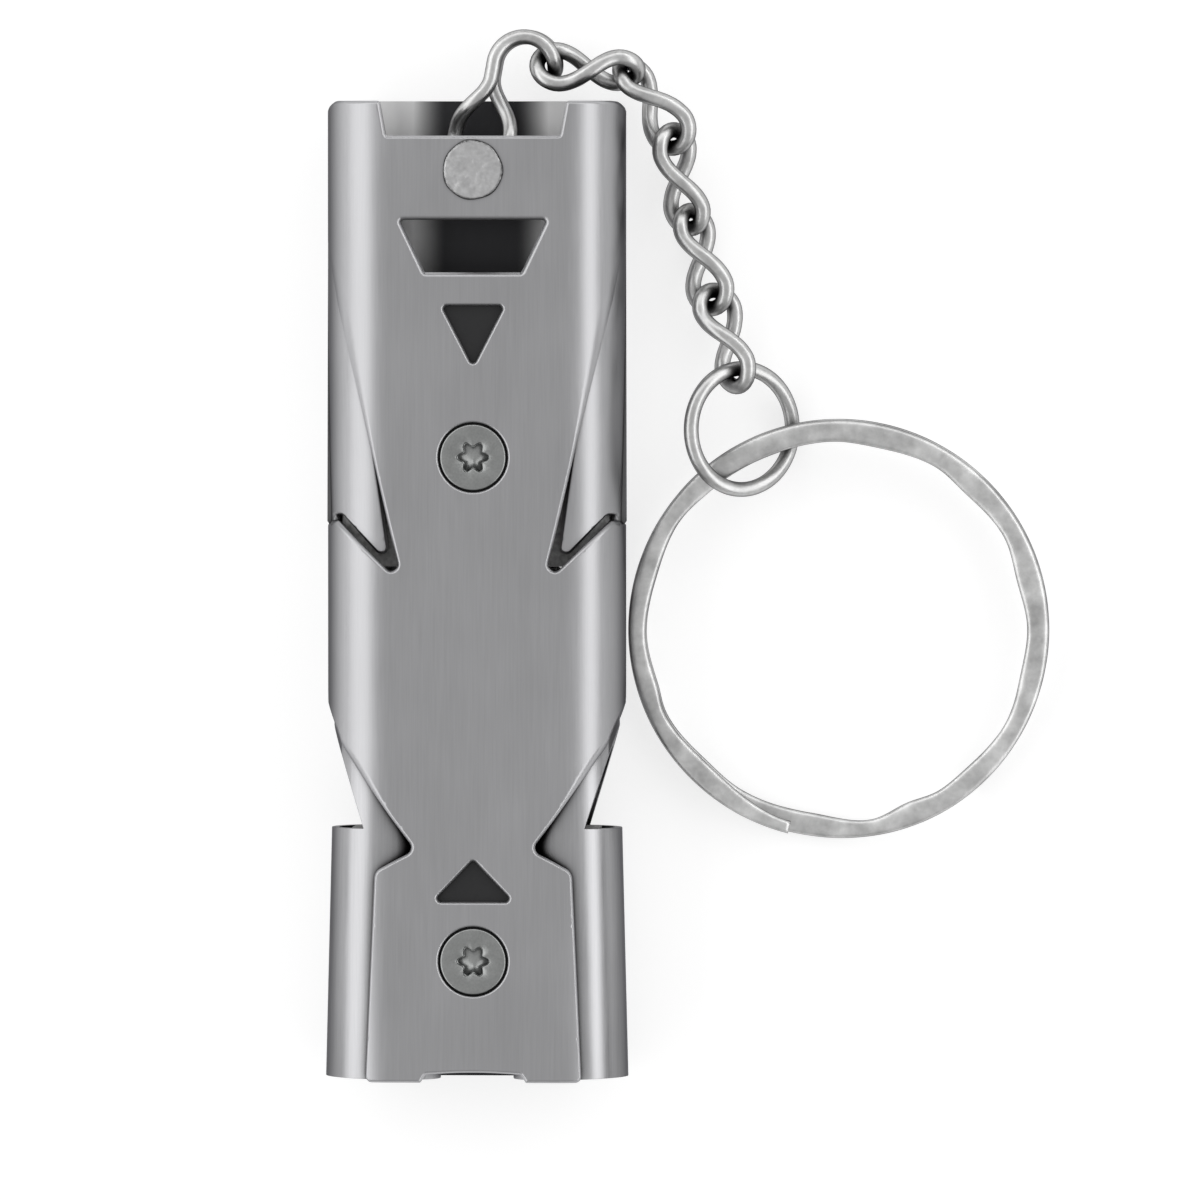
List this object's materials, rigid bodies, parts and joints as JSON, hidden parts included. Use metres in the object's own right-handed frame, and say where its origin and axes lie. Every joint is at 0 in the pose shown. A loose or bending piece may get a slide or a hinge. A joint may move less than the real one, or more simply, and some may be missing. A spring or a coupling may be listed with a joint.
{
  "type": "survival whistle with key chain",
  "caption": "Flat metal survival whistle in a stamped sleeve with side pipes and screwed halves, on a riveted chain of twisted links that ends in a split key ring.",
  "frame": {"origin": "centre of the flat rear face, midway along the whistle body", "axes": "+X across the whistle towards the side where the key ring lies, +Y along the whistle towards the chain end, +Z out of the front face"},
  "size_m": [0.0435, 0.0633, 0.0084],
  "materials": {
    "shell_steel": "stamped sheet, fine brushing along the length",
    "pipe_steel": "drawn pipe, satin",
    "fastener_steel": "turned",
    "rivet_metal": "hammered head",
    "chain_metal": "nickel plated wire",
    "ring_metal": "nickel plated, hammered flat wire",
    "core_plastic": "black, matte"
  },
  "bodies": {
    "whistle": {"front_shell": "shell_steel", "rear_shell": "shell_steel", "core_spacer": "core_plastic", "left_pipe": "pipe_steel", "right_pipe": "pipe_steel", "left_fipple_plug": "core_plastic", "right_fipple_plug": "core_plastic", "left_end_stopper": "core_plastic", "right_end_stopper": "core_plastic", "upper_post": "fastener_steel", "lower_post": "fastener_steel", "upper_screw": "fastener_steel", "lower_screw": "fastener_steel", "chain_rivet": "rivet_metal"},
    "hook": {"hook_link": "chain_metal"},
    "link_1": {"chain_link_1": "chain_metal"},
    "link_2": {"chain_link_2": "chain_metal"},
    "link_3": {"chain_link_3": "chain_metal"},
    "link_4": {"chain_link_4": "chain_metal"},
    "link_5": {"chain_link_5": "chain_metal"},
    "jump": {"jump_ring": "chain_metal"},
    "ring": {"split_ring": "ring_metal"}
  },
  "joints": [
    {"name": "hook_swing", "type": "hinge", "parent": "whistle", "child": "hook", "pos_m": [0, 0.02535, 0.0041], "axis": [0, 0, 1], "range_deg": [0, 60]},
    {"name": "link_1_swing", "type": "hinge", "parent": "hook", "child": "link_1", "pos_m": [0.00362, 0.03162, 0.00369], "axis": [-0.6558, -0.6198, 0.4309], "range_deg": [0, 30]},
    {"name": "link_2_swing", "type": "hinge", "parent": "link_1", "child": "link_2", "pos_m": [0.00876, 0.03177, 0.00224], "axis": [-0.379, -0.7579, 0.531], "range_deg": [0, 30]},
    {"name": "link_3_swing", "type": "hinge", "parent": "link_2", "child": "link_3", "pos_m": [0.0116, 0.02769, 0.00261], "axis": [-0.7543, 0.019, 0.6563], "range_deg": [0, 30]},
    {"name": "link_4_swing", "type": "hinge", "parent": "link_3", "child": "link_4", "pos_m": [0.0127, 0.02286, 0.00186], "axis": [-0.6899, -0.4139, 0.5939], "range_deg": [0, 30]},
    {"name": "link_5_swing", "type": "hinge", "parent": "link_4", "child": "link_5", "pos_m": [0.01406, 0.01804, 0.00219], "axis": [-0.9075, 0.1459, 0.3938], "range_deg": [0, 30]},
    {"name": "jump_ring_swing", "type": "hinge", "parent": "link_5", "child": "jump", "pos_m": [0.0155, 0.01333, 0.00304], "axis": [-0.8663, -0.3741, 0.3311], "range_deg": [0, 45]},
    {"name": "split_ring_swing", "type": "hinge", "parent": "jump", "child": "ring", "pos_m": [0.01569, 0.00713, 0.00248], "axis": [-0.7999, -0.5759, 0.169], "range_deg": [0, 45]}
  ]
}
